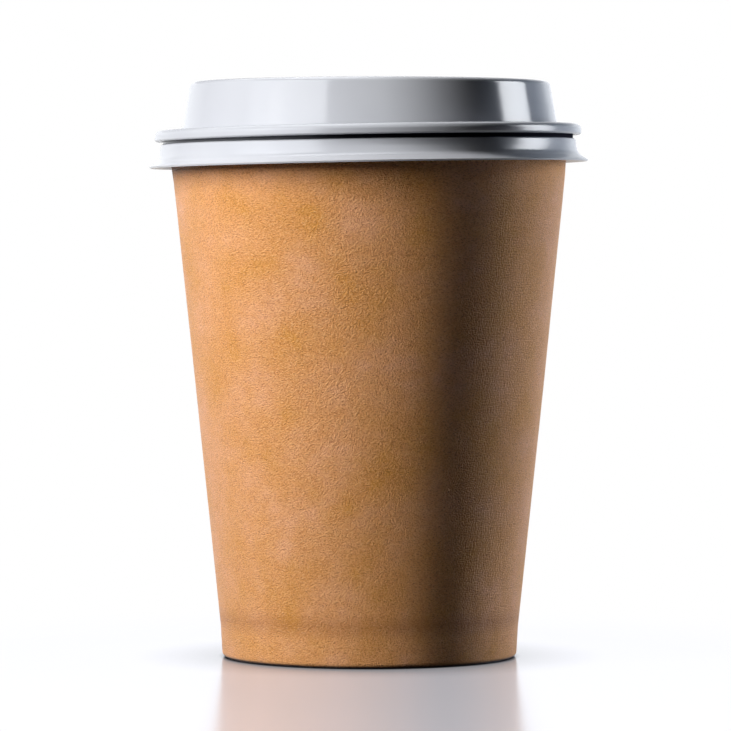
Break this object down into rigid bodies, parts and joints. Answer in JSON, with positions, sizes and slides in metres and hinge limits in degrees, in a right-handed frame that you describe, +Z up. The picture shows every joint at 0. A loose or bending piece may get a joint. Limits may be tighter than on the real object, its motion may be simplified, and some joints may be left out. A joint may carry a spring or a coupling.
{
  "type": "paper coffee cup with lid",
  "caption": "Kraft paper takeaway coffee cup with a rolled rim, a recessed base and a push-on plastic travel lid.",
  "frame": {"origin": "middle of the foot ring, on the surface that the cup stands on", "axes": "+Z up along the cup's axis; -Y is the front, where the sip hole is; the glued side seam is at +Y"},
  "size_m": [0.0938, 0.0938, 0.1227],
  "materials": {
    "kraft_board": "matte",
    "white_board": "satin",
    "lid_plastic": "gloss"
  },
  "bodies": {
    "cup": {"side_wall": "kraft_board", "base_disc": "white_board"},
    "lid": {"lid": "lid_plastic"}
  },
  "joints": [
    {"name": "lid_lift", "type": "slide", "parent": "cup", "child": "lid", "axis": [0, 0, 1], "range_m": [0, 0.06]}
  ]
}
